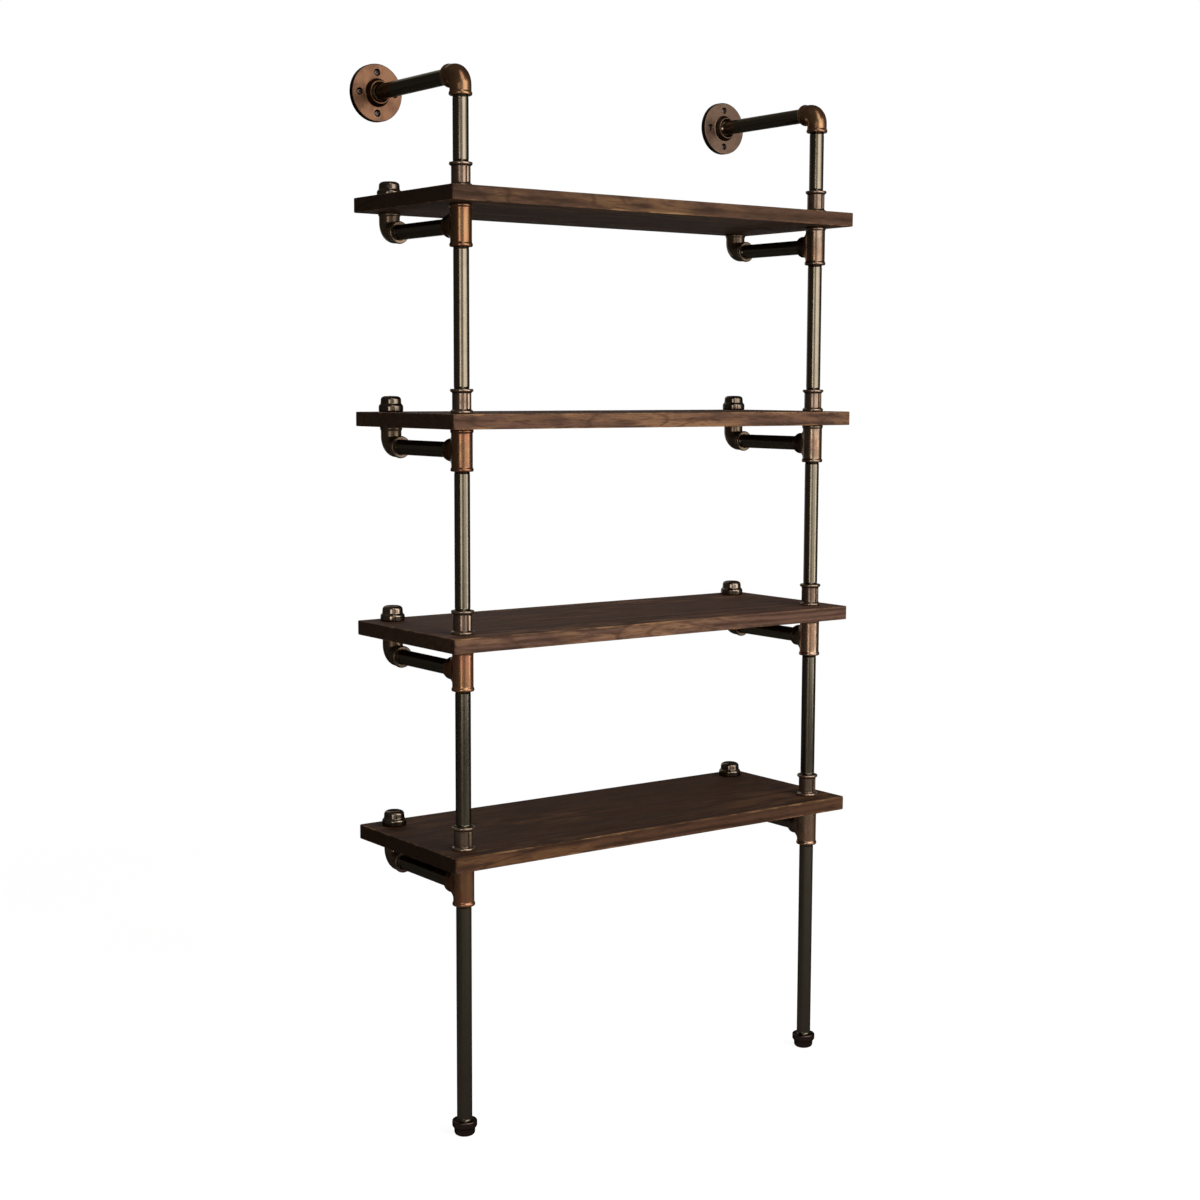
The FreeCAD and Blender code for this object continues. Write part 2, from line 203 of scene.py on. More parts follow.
@dataclass(frozen=True)
class MetalFinish:
    """A plated and tarnished metal with a fine cast or drawn skin.

    A range says between which values of its noise, or of the surface's pointiness, an effect sets in. Painted
    light is part of the finish: the lighter rubbed edges are partly wear and partly painted highlight, and
    the darkening in creases and behind a plane along Y is painted shade.
    """

    name: str
    base: Colour
    tarnish: Colour
    rubbed: Colour
    roughness: float
    slot: Slot | None = Slot.FITTING
    metallic: float = 1.0
    specular: float = 0.5
    edge_tint: float = 0.4
    bump: float = 0.012 * MM
    rough_range: Range = (0.3, 0.7)
    rough_spread: float = 0.12
    patch_scale: float = 42.0
    patch_range: Range = (0.42, 0.68)
    patch_share: float = 0.55
    speck_scale: float = 900.0
    speck_range: Range = (0.52, 0.75)
    speck_share: float = 0.25
    # Lighter colour on convex edges, partly wear and partly painted highlight.
    rub_range: Range = (0.505, 0.56)
    rub_speck_range: Range = (0.3, 0.6)
    rub_share: float = 0.5
    # Painted shade in concave creases: the pointiness range where it sets in, its share, and how dark a tone
    # of the tarnish colour it takes.
    grime_range: Range = (0.455, 0.498)
    grime_share: float = 0.75
    soot_tone: float = 0.25
    blush: Colour | None = None
    blush_scale: float = 15.0
    blush_range: Range = (0.40, 0.60)
    # Painted shade behind a plane along Y: where the plane stands, how far behind it the shade starts, how
    # far it deepens and how dark it gets.
    sunk_from: float | None = None
    sunk_gap: float = 0.2 * MM
    sunk_reach: float = 1.0 * MM
    sunk_share: float = 0.8

    def shaded(self, part: object, share: float) -> "MetalFinish":
        """Return a brighter or darker copy of this finish, its colours multiplied by a share and named for
        the part that has it; the copies paint light and shade level by level.
        """
        colours = {key: getattr(self, key) for key in ("base", "tarnish", "rubbed", "blush")}
        toned = {key: tuple(tone * share for tone in colour) for key, colour in colours.items() if colour}
        return replace(self, name=f"{self.name}_{part}", **toned)

    def material(self) -> bpy.types.Material:
        """Return this finish as a material, made on its first use."""
        found = bpy.data.materials.get(self.name)
        if found:
            return found
        material, sheet = new_material(self.name)
        where = sheet.coordinate()
        patches = sheet.noise(where, self.patch_scale, detail=4.0, rough=0.6)
        specks = sheet.noise(where, self.speck_scale, detail=2.0, rough=0.6)
        colour = self.base
        if self.blush:
            clouds = sheet.noise(where, self.blush_scale, detail=3.0, rough=0.5)
            colour = sheet.blend(sheet.fade(clouds, *self.blush_range), colour, self.blush)
        tarnished = sheet.fade(patches, *self.patch_range, 0.0, self.patch_share)
        colour = sheet.blend(tarnished, colour, self.tarnish)
        edges = sheet.node("ShaderNodeNewGeometry").outputs["Pointiness"]
        # Convex edges lightened: partly wear, partly painted highlight.
        worn_and_glint = sheet.product(sheet.fade(edges, *self.rub_range), sheet.fade(specks, *self.rub_speck_range))
        colour = sheet.blend(sheet.product(worn_and_glint, self.rub_share), colour, self.rubbed)
        speckled = sheet.fade(specks, *self.speck_range, 0.0, self.speck_share)
        colour = sheet.blend(speckled, colour, self.tarnish)
        # Painted shade: concave creases are darkened towards a dark tone of the tarnish colour.
        shade_colour = tuple(part * self.soot_tone for part in self.tarnish)
        colour = sheet.blend(sheet.fade(edges, *self.grime_range, self.grime_share, 0.0), colour, shade_colour)
        # Painted shade behind a plane along Y, for recesses and the far side of a part.
        if self.sunk_from is not None:
            start = self.sunk_from + self.sunk_gap
            shade_behind = sheet.fade(sheet.part(where, "Y"), start, start + self.sunk_reach, 0.0, self.sunk_share)
            colour = sheet.blend(shade_behind, colour, shade_colour)
        spread = self.rough_spread / 2
        shine = sheet.fade(patches, *self.rough_range, self.roughness - spread, self.roughness + spread)
        sheet.coat(
            {
                "Base Color": colour,
                "Metallic": self.metallic,
                "Roughness": shine,
                "Specular IOR Level": self.specular,
                "Specular Tint": opaque((self.edge_tint,) * 3),
            },
            {"Height": specks, "Strength": 1.0, "Distance": self.bump},
        )
        return material


@dataclass(frozen=True)
class Grain:
    """A noise that is stretched along X, by its scales along and across the board."""

    along: float
    across: float
    detail: float
    rough: float


@dataclass(frozen=True)
class WoodFinish:
    """Dark stained wood with grain along X, worn to a lighter tone along its edges.

    A range says between which values of its noise an effect sets in.
    """

    name: str
    low: tuple[float, float, float]
    high: tuple[float, float, float]
    offset: tuple[float, float, float]
    tone: Colour
    slot: Slot = Slot.WOOD
    dark: Colour = (0.050, 0.0245, 0.0148)
    middle: Colour = (0.128, 0.067, 0.045)
    light: Colour = (0.265, 0.140, 0.070)
    worn: Colour = (0.40, 0.215, 0.095)
    end: Colour = (0.029, 0.0165, 0.0105)
    streaks: Grain = Grain(2.6, 105.0, detail=5.0, rough=0.65)
    broad: Grain = Grain(1.6, 9.0, detail=3.0, rough=0.55)
    pores: Grain = Grain(34.0, 560.0, detail=2.0, rough=0.5)
    clouds: Grain = Grain(9.0, 52.0, detail=4.0, rough=0.6)
    figure: Grain = Grain(2.8, 17.0, detail=1.0, rough=0.4)
    ragged: Grain = Grain(18.0, 60.0, detail=4.0, rough=0.6)
    patchy: Grain = Grain(5.0, 9.0, detail=2.0, rough=0.5)
    ring_stretch: float = 0.07
    ring_scale: float = 30.0
    ring_distortion: float = 5.0
    ring_weight: float = 0.16
    streak_weight: float = 0.40
    cloud_weight: float = 0.44
    tone_range: Range = (0.29, 0.58)
    light_range: Range = (0.42, 0.62)
    light_share: float = 0.7
    figure_lines: float = 9.0
    line_width: float = 0.16
    line_range: Range = (0.38, 0.6)
    dark_share: float = 0.55
    pore_range: Range = (0.34, 0.46)
    end_range: Range = (0.55, 0.9)
    end_share: float = 0.8
    wear_width: float = 3.2 * MM
    wear_reach: float = 1.6
    ragged_range: Range = (0.3, 0.75)
    patchy_range: Range = (0.35, 0.62)
    patchy_shares: Range = (0.15, 0.85)
    roughness: Range = (0.60, 0.76)
    specular: float = 0.08
    rough_range: Range = (0.3, 0.7)
    relief: float = 0.25 * MM
    relief_strength: float = 0.8
    pore_depth: float = 0.7
    streak_height: float = 0.8

    def material(self) -> bpy.types.Material:
        """Return this finish as a material."""
        material, sheet = new_material(self.name)
        where = sheet.coordinate()
        dark, middle, light, end = map(self._toned, (self.dark, self.middle, self.light, self.end))
        grains = (self.streaks, self.broad, self.pores, self.clouds, self.figure)
        streaks, broad, pores, clouds, figure = (self._read(sheet, where, grain) for grain in grains)
        rings = sheet.node(
            "ShaderNodeTexWave",
            {
                "Vector": sheet.mapped(where, (self.ring_stretch, 1.0, 1.0), self.offset),
                "Scale": self.ring_scale,
                "Distortion": self.ring_distortion,
                "Detail": 3.0,
                "Detail Scale": 0.55,
                "Detail Roughness": 0.6,
            },
            wave_type="RINGS",
            rings_direction="X",
        ).outputs["Fac"]
        tone = sheet.math("MULTIPLY_ADD", rings, self.ring_weight, sheet.product(streaks, self.streak_weight))
        tone = sheet.math("MULTIPLY_ADD", clouds, self.cloud_weight, tone)
        colour = sheet.blend(sheet.fade(tone, *self.tone_range), dark, middle)
        lighter = sheet.product(sheet.fade(broad, *self.light_range), sheet.fade(clouds, *self.light_range))
        colour = sheet.blend(sheet.product(lighter, self.light_share), colour, light)
        contour = sheet.math("PINGPONG", sheet.product(figure, self.figure_lines), 0.5)
        lines = sheet.fade(contour, 0.0, self.line_width, self.dark_share, 0.0)
        colour = sheet.blend(sheet.product(lines, sheet.fade(broad, *self.line_range)), colour, dark)
        open_pores = sheet.fade(pores, *self.pore_range, 1.0, 0.0)
        colour = sheet.blend(sheet.product(open_pores, self.dark_share), colour, dark)
        facing = sheet.math("ABSOLUTE", sheet.part(sheet.coordinate("Normal"), "X"))
        at_end = sheet.fade(facing, *self.end_range, 0.0, self.end_share)
        colour = sheet.blend(at_end, colour, end)
        wear = sheet.product(self._wear(sheet, where), sheet.less(1.0, at_end))
        colour = sheet.blend(wear, colour, self.worn)
        raised = sheet.product(streaks, self.streak_height)
        height = sheet.math("MULTIPLY_ADD", open_pores, -self.pore_depth, raised)
        sheet.coat(
            {
                "Base Color": colour,
                "Roughness": sheet.fade(streaks, *self.rough_range, *self.roughness),
                "Specular IOR Level": self.specular,
            },
            {"Height": height, "Strength": self.relief_strength, "Distance": self.relief},
        )
        return material

    def _toned(self, colour: Colour) -> Colour:
        """Return a colour multiplied by this board's tone."""
        return tuple(part * tone for part, tone in zip(colour, self.tone))

    def _read(self, sheet: NodeSheet, where: object, grain: Grain) -> bpy.types.NodeSocket:
        """Return the value of one of the board's stretched noises."""
        stretched = sheet.mapped(where, (grain.along, grain.across, grain.across), self.offset)
        return sheet.noise(stretched, 1.0, grain.detail, grain.rough)

    def _wear(self, sheet: NodeSheet, where: object) -> bpy.types.NodeSocket:
        """Return how far the stain is rubbed off, from the distance to the board's nearest edge.

        Args:
            sheet: The material's nodes.
            where: The object coordinate.

        Returns:
            A socket that is 1 where the edge is bare and 0 away from the edges.
        """
        depths = []
        for axis, low, high in zip("XYZ", self.low, self.high):
            offset = sheet.math("ABSOLUTE", sheet.less(sheet.part(where, axis), (low + high) / 2))
            depths.append(sheet.less((high - low) / 2, offset))
        nearer = sheet.math("MINIMUM", depths[0], depths[1])
        further = sheet.math("MAXIMUM", depths[0], depths[1])
        second = sheet.math("MAXIMUM", nearer, sheet.math("MINIMUM", further, depths[2]))
        ragged = sheet.fade(self._read(sheet, where, self.ragged), *self.ragged_range)
        reach = sheet.product(ragged, self.wear_width * self.wear_reach)
        bare = sheet.math("DIVIDE", sheet.less(reach, second), self.wear_width, clamp=True)
        patchy = self._read(sheet, where, self.patchy)
        return sheet.product(bare, sheet.fade(patchy, *self.patchy_range, *self.patchy_shares))


PIPE_FINISH = MetalFinish(
    "drawn_pipe",
    base=(0.150, 0.124, 0.088),
    tarnish=(0.105, 0.088, 0.062),
    rubbed=(0.22, 0.18, 0.13),
    roughness=0.20,
    slot=Slot.PIPE,
    patch_share=0.3,
    rough_spread=0.04,
    speck_share=0.05,
    bump=0.0004 * MM,
    rub_share=0.1,
)
FITTING_FINISH = MetalFinish(
    "cast_fitting",
    base=(0.205, 0.108, 0.050),
    tarnish=(0.130, 0.066, 0.040),
    rubbed=(0.36, 0.21, 0.12),
    roughness=0.24,
    speck_scale=600.0,
    speck_share=0.12,
    bump=0.0025 * MM,
    metallic=0.87,
    specular=0.2,
    blush=(0.220, 0.094, 0.050),
    # Painted shade along the tees' branches, towards the wall.
    sunk_reach=10.0 * MM,
    sunk_share=0.65,
)
PALE_FITTING_FINISH = replace(
    FITTING_FINISH,
    name="cast_fitting_pale",
    base=(0.210, 0.148, 0.102),
    tarnish=(0.110, 0.074, 0.052),
    metallic=0.95,
    blush=(0.215, 0.125, 0.078),
)
# A brighter, more golden copy of the fitting finish for the top elbows; its brighter base is painted light.
LIT_TOP_ELBOW_FINISH = replace(
    FITTING_FINISH, name="cast_top_elbow", base=(0.260, 0.144, 0.069), blush=(0.190, 0.090, 0.046)
)
# A darker olive-brown cast finish for the rear elbows under the shelves; the darkness is painted shade.
SHADED_REAR_ELBOW_FINISH = MetalFinish(
    "cast_elbow",
    base=(0.128, 0.088, 0.056),
    tarnish=(0.085, 0.057, 0.038),
    rubbed=(0.16, 0.108, 0.080),
    roughness=0.27,
    speck_scale=600.0,
    speck_share=0.1,
    bump=0.0025 * MM,
    rub_share=0.15,
    metallic=0.75,
    specular=0.3,
)
COUPLING_FINISH = MetalFinish(
    "cast_coupling",
    base=(0.205, 0.142, 0.100),
    tarnish=(0.110, 0.072, 0.054),
    rubbed=(0.38, 0.28, 0.20),
    roughness=0.22,
    speck_scale=600.0,
    speck_share=0.12,
    bump=0.004 * MM,
    # Full painted shade in the creases, such as beside the ribs.
    grime_share=1.0,
    metallic=0.85,
    specular=0.3,
)
CAP_FINISH = MetalFinish(
    "cast_cap",
    base=(0.158, 0.120, 0.088),
    tarnish=(0.085, 0.060, 0.044),
    rubbed=(0.28, 0.21, 0.16),
    roughness=0.16,
    slot=Slot.CAP,
    patch_share=0.35,
    rough_spread=0.06,
    speck_scale=600.0,
    bump=0.003 * MM,
)
# A darker, redder copy of the cap finish for the foot caps; the darkness is painted shade near the floor.
SHADED_FOOT_FINISH = replace(
    CAP_FINISH,
    name="cast_foot",
    base=(0.084, 0.054, 0.044),
    tarnish=(0.046, 0.030, 0.026),
    rubbed=(0.17, 0.12, 0.085),
    roughness=0.24,
)
FLANGE_FINISH = MetalFinish(
    "brushed_flange",
    base=(0.108, 0.054, 0.030),
    tarnish=(0.070, 0.034, 0.021),
    rubbed=(0.26, 0.17, 0.11),
    roughness=0.36,
    slot=Slot.FLANGE,
    bump=0.008 * MM,
    rub_share=0.3,
    # Weaker painted shade in the creases.
    grime_share=0.4,
)
PALE_FLANGE_FINISH = replace(
    FLANGE_FINISH, name="brushed_flange_pale", base=(0.142, 0.088, 0.060), tarnish=(0.085, 0.053, 0.038)
)
SCREW_FINISH = MetalFinish(
    "screw_steel",
    base=(0.085, 0.066, 0.064),
    tarnish=(0.045, 0.034, 0.032),
    rubbed=(0.14, 0.115, 0.11),
    roughness=0.33,
    slot=None,
)


def mesh_data(name: str, mesh: BMesh) -> bpy.types.Mesh:
    """Return a mesh as Blender's own data. It is used up."""
    data = bpy.data.meshes.new(name)
    mesh.to_mesh(data)
    mesh.free()
    return data


def linked(name: str, data: bpy.types.ID) -> bpy.types.Object:
    """Return a new object in the scene that holds some data."""
    made = bpy.data.objects.new(name, data)
    bpy.context.scene.collection.objects.link(made)
    return made


def ring_at(made: Sequence[object]) -> tuple[list[BMVert], list[BMEdge]]:
    """Pick the new ring out of what an extrude made.

    Args:
        made: The geometry that the operator returned.

    Returns:
        The new vertices and the edges that join them to each other.
    """
    verts = [item for item in made if isinstance(item, BMVert)]
    edges = [item for item in made if isinstance(item, BMEdge) and all(v in verts for v in item.verts)]
    return verts, edges


def rim_of(faces: Collection[BMFace]) -> list[BMEdge]:
    """Return the edges that close a patch of faces off from the rest."""
    edges = {edge for face in faces for edge in face.edges}
    return [edge for edge in edges if sum(face in faces for face in edge.link_faces) == 1]


def faces_towards(faces: Collection[BMFace], direction: Vector, angle: float) -> list[BMFace]:
    """Pick the faces on one side of the Z axis.

    Args:
        faces: The faces to pick from. Those that are gone by now are passed over.
        direction: The direction in X and Y, of length 1.
        angle: How far a face's middle may lie off that direction, in radians.

    Returns:
        The faces that lie within the angle.
    """
    limit = math.cos(angle)
    there = [face for face in faces if face.is_valid]
    return [face for face in there if face.calc_center_median().to_2d().normalized().dot(direction) > limit]


def bevel(mesh: BMesh, geom: Sequence[object], offset: float, segments: int, affect: str = "EDGES") -> None:
    """Round edges, or the corners of an outline where affect says VERTICES."""
    bmesh.ops.bevel(
        mesh, geom=geom, offset=offset, offset_type="OFFSET", segments=segments, profile=0.5, affect=affect,
        material=-1,
    )


@dataclass
class Tube:
    """A ring of edges round an axis through the origin, drawn out along it through changing radii."""

    mesh: BMesh
    ring: list[BMEdge]
    axis: Vector
    distance: float
    radius: float

    @classmethod
    def start(cls, mesh: BMesh, axis: Vector, distance: float, radius: float, sides: int) -> "Tube":
        """Start a tube with an open circle.

        Args:
            mesh: The mesh that the circle goes into.
            axis: The direction that the tube runs in, of length 1.
            distance: How far from the origin the circle stands.
            radius: The circle's radius.
            sides: How many sides it has.

        Returns:
            The tube, ready to be drawn out.
        """
        place = Matrix.Translation(axis * distance) @ axis.to_track_quat("Z", "Y").to_matrix().to_4x4()
        made = bmesh.ops.create_circle(mesh, segments=sides, radius=radius, cap_ends=False, matrix=place)
        ring = list({edge for vert in made["verts"] for edge in vert.link_edges})
        return cls(mesh, ring, axis, distance, radius)

    def draw(self, steps: Profile) -> "Tube":
        """Draw the ring out.

        Args:
            steps: The distance from the origin and the radius after each step.

        Returns:
            The tube itself.
        """
        for distance, radius in steps:
            made = bmesh.ops.extrude_edge_only(self.mesh, edges=self.ring)["geom"]
            verts, self.ring = ring_at(made)
            bmesh.ops.translate(self.mesh, vec=self.axis * (distance - self.distance), verts=verts)
            space = Matrix.Translation(-self.axis * distance)
            bmesh.ops.scale(self.mesh, vec=(radius / self.radius,) * 3, space=space, verts=verts)
            self.distance = distance
            self.radius = radius
        return self


def join_rings(mesh: BMesh, first: Sequence[BMEdge], second: Sequence[BMEdge]) -> None:
    """Close the gap between two rings with a band of faces."""
    bmesh.ops.bridge_loops(mesh, edges=[*first, *second])


def make_sound(mesh: BMesh) -> BMesh:
    """Merge doubled vertices and turn every face outwards."""
    bmesh.ops.remove_doubles(mesh, verts=mesh.verts, dist=MERGE_DISTANCE)
    bmesh.ops.recalc_face_normals(mesh, faces=mesh.faces)
    return mesh


@dataclass(frozen=True)
class Corner:
    """A corner of a turned outline, with how far it is rounded."""

    radius: float
    height: float
    easing: float = 0.0


def turned(corners: Sequence[Corner], steps: int = 64) -> BMesh:
    """Turn an outline round the Z axis.

    Args:
        corners: The outline in order. It stays open on the axis where its two ends lie there.
        steps: How many sides the turned shape has.

    Returns:
        The closed mesh.
    """
    mesh = bmesh.new()
    verts = [mesh.verts.new((corner.radius, 0.0, corner.height)) for corner in corners]
    on_axis = corners[0].radius == 0.0 and corners[-1].radius == 0.0
    ends = verts[1:] if on_axis else verts[1:] + verts[:1]
    for start, end in zip(verts, ends):
        mesh.edges.new((start, end))
    for easing in sorted({corner.easing for corner in corners if corner.easing}):
        eased = [vert for vert, corner in zip(verts, corners) if corner.easing == easing]
        bevel(mesh, eased, easing, 5, "VERTICES")
    bmesh.ops.spin(
        mesh, geom=[*mesh.verts, *mesh.edges], cent=(0, 0, 0), axis=(0, 0, 1), angle=math.tau, steps=steps,
        use_merge=True, use_duplicate=False,
    )
    return make_sound(mesh)


def carve(blank: BMesh, cutter: BMesh) -> BMesh:
    """Cut one closed mesh out of another.

    Args:
        blank: The mesh that is cut. It is used up.
        cutter: The mesh that is taken away. It is used up.

    Returns:
        What is left of the blank.
    """
    objects = [linked("blank", mesh_data("blank", blank)), linked("cutter", mesh_data("cutter", cutter))]
    cut = objects[0].modifiers.new("cut", "BOOLEAN")
    cut.object = objects[1]
    cut.operation = "DIFFERENCE"
    cut.solver = "EXACT"
    graph = bpy.context.evaluated_depsgraph_get()
    result = bmesh.new()
    result.from_mesh(objects[0].evaluated_get(graph).to_mesh())
    for made in objects:
        data = made.data
        bpy.data.objects.remove(made)
        bpy.data.meshes.remove(data)
    return make_sound(result)


@dataclass(frozen=True)
class Bench:
    """Where finished meshes become pieces of the bookcase."""

    sharp_angle: float = math.radians(38.0)

    def set_out(
        self,
        name: str,
        mesh: BMesh,
        place: Matrix,
        finish: MetalFinish | WoodFinish,
        node: str | None = None,
        rounds: int = 0,
    ) -> None:
        """Put a mesh in its place and tie it to the CAD frame.

        Args:
            name: The piece's name.
            mesh: Its mesh in its own frame. It is used up.
            place: The matrix that carries it to its place.
            finish: What it is finished with.
            node: The CAD node that it stands for, if there is one.
            rounds: How many times its faces are subdivided and smoothed.
        """
        mesh.transform(place)
        data = mesh_data(name, mesh)
        data.shade_smooth()
        piece = linked(name, data)
        if rounds:
            smoothing = piece.modifiers.new("rounding", "SUBSURF")
            smoothing.levels = rounds
            smoothing.render_levels = rounds
        else:
            data.set_sharp_from_angle(angle=self.sharp_angle)
            evening = piece.modifiers.new("even_shading", "WEIGHTED_NORMAL")
            evening.keep_sharp = True
        data.materials.append(finish.material())
        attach(piece, BODY)
        if node:
            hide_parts(node)
        LOG.info("%s: %d faces", name, len(data.polygons))


@dataclass(frozen=True)
class ThreadedPipe:
    """A length of pipe with a thread cut at each end. It runs up +Z from its own origin."""

    length: float
    radius: float
    bore: float = 10.45 * MM
    thread_length: float = 21.5 * MM
    pitch: float = 1.814 * MM
    depth: float = 0.85 * MM
    run_out: int = 3

    def mesh(self) -> BMesh:
        """Return the pipe's mesh."""
        thread = self._thread()
        low = [Corner(radius, height) for radius, height in thread]
        high = [Corner(radius, self.length - height) for radius, height in reversed(thread)]
        return turned([Corner(self.bore, 0.0), *low, *high, Corner(self.bore, self.length)])

    def _thread(self) -> Profile:
        """Return the thread's roots and crests from the pipe's end inwards, as radius and height."""
        turns = int(min(self.thread_length, self.length / 2) / self.pitch)
        points = []
        for turn in range(turns):
            depth = self.depth * min(1.0, (turns - turn) / self.run_out)
            points.append((self.radius - depth, turn * self.pitch))
            points.append((self.radius, (turn + 0.5) * self.pitch))
        return points


@dataclass(frozen=True)
class Casting:
    """A hollow casting round the crossing of its axes, with a raised bead round each mouth.

    The bead's outline gives millimetres back from the mouth and a share of the bead's rise. The lip's gives
    millimetres back from the mouth and millimetres of widening.
    """

    reach: float = 35.6 * MM
    body: float = 18.2 * MM
    bead: float = BEAD_RADIUS
    bore: float = SOCKET_BORE
    bead_outline: Profile = (
        (8.4, 0.0), (7.2, 0.05), (6.4, 0.26), (5.6, 0.64), (4.8, 0.90), (3.8, 1.0), (2.6, 1.0), (1.6, 0.86),
        (0.8, 0.58), (0.25, 0.16), (0.0, -0.34),
    )
    lip_outline: Profile = ((1.2, 0.0), (0.9, 0.15), (0.0, 1.1))

    def mesh(self) -> BMesh:
        """Return the casting's mesh, bored right through."""
        mesh = bmesh.new()
        rise = self.bead - self.body
        outside = [(self.reach - back * MM, self.body + share * rise) for back, share in self.bead_outline]
        inside = [(self.reach - back * MM, self.bore + wide * MM) for back, wide in self.lip_outline]
        skins = [self.skin(mesh, self.body, outside), self.skin(mesh, self.bore, inside)]
        for outer, inner in zip(*skins):
            join_rings(mesh, outer, inner)
        return make_sound(mesh)

    def skin(self, mesh: BMesh, radius: float, steps: Profile) -> list[list[BMEdge]]:
        """Make one skin of the casting with open mouths.

        Args:
            mesh: The mesh that the skin goes into.
            radius: The radius of the skin between its legs.
            steps: The distances and radii of each leg out to its mouth.

        Returns:
            The rings at the mouths.
        """
        raise NotImplementedError


@dataclass(frozen=True)
class Elbow(Casting):
    """A cast elbow with its legs towards -Y and +Z."""

    bend: float = 19.0 * MM
    bend_steps: int = 44
    sides: int = 96

    def skin(self, mesh: BMesh, radius: float, steps: Profile) -> list[list[BMEdge]]:
        """Bend one tube and draw both of its ends out, the front one first."""
        front = Tube.start(mesh, Vector((0, -1, 0)), self.bend, radius, self.sides)
        verts = list({vert for edge in front.ring for vert in edge.verts})
        made = bmesh.ops.spin(
            mesh, geom=[*verts, *front.ring], cent=(0, -self.bend, self.bend), axis=(1, 0, 0),
            angle=math.pi / 2, steps=self.bend_steps, use_merge=False, use_duplicate=False,
        )
        upper = Tube(mesh, ring_at(made["geom_last"])[1], UP, self.bend, radius)
        return [front.draw(steps).ring, upper.draw(steps).ring]


@dataclass(frozen=True)
class Tee(Casting):
    """The cage of a cast tee, rounded by subdividing it, with its run along Z and its branch towards +Y.

    The rows and the branch's start are shares of the skin's radius.
    """

    sides: int = 16
    rows: tuple[float, ...] = (-1.25, -0.62, 0.0, 0.62, 1.25)
    branch_start: float = 1.38
    shrink: float = 0.9746
    rounds: int = 2

    def skin(self, mesh: BMesh, radius: float, steps: Profile) -> list[list[BMEdge]]:
        """Open a window in the run and draw out the legs below, above and behind."""
        wide = radius / self.shrink
        heights = [row * radius for row in self.rows]
        above = Tube.start(mesh, UP, heights[0], wide, self.sides)
        below = Tube(mesh, above.ring, -UP, -heights[0], wide)
        before = set(mesh.faces)
        above.draw([(height, wide) for height in heights[1:]])
        window = faces_towards(set(mesh.faces) - before, Vector((0, 1)), math.pi / 4)
        rim = rim_of(window)
        bmesh.ops.delete(mesh, geom=window, context="FACES_KEEP_BOUNDARY")
        behind = Tube.start(mesh, Vector((0, 1, 0)), radius * self.branch_start, wide, self.sides)
        join_rings(mesh, rim, behind.ring)
        legs = [(distance, width / self.shrink) for distance, width in steps]
        return [tube.draw(legs).ring for tube in (below, above, behind)]


@dataclass(frozen=True)
class Coupling:
    """A cast coupling that stands on its own origin, with two ribs that a wrench grips.

    The bead's outline gives millimetres from the mouth and a share of the bead's rise.
    """

    length: float = 41.0 * MM
    waist: float = 16.2 * MM
    bead: float = BEAD_RADIUS
    bore: float = SOCKET_BORE
    lip: float = 0.9 * MM
    rib_height: float = 2.9 * MM
    rib_angle: float = 7.5
    rib_turn: float = -82.5
    rib_easing: float = 0.45 * MM
    sides: int = 72
    bead_outline: Profile = (
        (0.0, 0.35), (0.25, 0.72), (0.8, 0.93), (1.7, 1.0), (3.2, 1.0), (4.3, 0.9), (5.2, 0.6), (6.0, 0.24),
        (6.8, 0.05), (7.6, 0.0),
    )

    def mesh(self) -> BMesh:
        """Return the coupling's mesh."""
        mesh = bmesh.new()
        rise = self.bead - self.waist
        low = [(height * MM, self.waist + share * rise) for height, share in self.bead_outline]
        high = [(self.length - height, radius) for height, radius in reversed(low)]
        outside = Tube.start(mesh, UP, *low[0], self.sides)
        lower = outside.ring
        outside.draw(low[1:])
        before = set(mesh.faces)
        outside.draw(high[:1])
        waist = set(mesh.faces) - before
        outside.draw(high[1:])
        wide = self.bore + self.lip
        inside = Tube.start(mesh, UP, 0.0, wide, self.sides)
        mouth = inside.ring
        inside.draw([(self.lip, self.bore), (self.length - self.lip, self.bore), (self.length, wide)])
        join_rings(mesh, lower, mouth)
        join_rings(mesh, outside.ring, inside.ring)
        for turn in (self.rib_turn, self.rib_turn + 180.0):
            self._raise_rib(mesh, waist, math.radians(turn))
        return make_sound(mesh)

    def _raise_rib(self, mesh: BMesh, waist: set[BMFace], turn: float) -> None:
        """Raise one rib out of the waist.

        Args:
            mesh: The coupling's mesh.
            waist: The faces of the waist.
            turn: The rib's direction round the axis, in radians from +X.
        """
        faces = faces_towards(waist, Vector((math.cos(turn), math.sin(turn))), math.radians(self.rib_angle))
        made = bmesh.ops.extrude_face_region(mesh, geom=faces)["geom"]
        verts = [item for item in made if isinstance(item, BMVert)]
        raised = [item for item in made if isinstance(item, BMFace)]
        growth = (self.waist + self.rib_height) / self.waist
        bmesh.ops.scale(mesh, vec=(growth, growth, 1.0), verts=verts)
        bmesh.ops.delete(mesh, geom=faces, context="FACES_ONLY")
        bevel(mesh, rim_of(raised), self.rib_easing, 3)


@dataclass(frozen=True)
class Cap:
    """A cast cap with its open end at height 0 and its crown up."""

    length: float = 28.0 * MM
    band: float = 21.75 * MM
    band_width: float = 11.5 * MM
    body: float = 18.5 * MM
    bore: float = SOCKET_BORE
    depth: float = 21.0 * MM

    def mesh(self) -> BMesh:
        """Return the cap's mesh."""
        return turned(
            [
                Corner(0.0, self.depth),
                Corner(self.bore, self.depth),
                Corner(self.bore, 1.0 * MM),
                Corner(self.bore + 1.0 * MM, 0.0),
                Corner(self.band, 0.0, 2.2 * MM),
                Corner(self.band, self.band_width - 0.4 * MM, 2.2 * MM),
                Corner(self.body, self.band_width + 2.4 * MM, 1.1 * MM),
                Corner(self.body - 0.6 * MM, self.length - 4.0 * MM, 2.6 * MM),
                Corner(self.body - 5.4 * MM, self.length - 0.6 * MM, 2.8 * MM),
                Corner(0.0, self.length),
            ]
        )


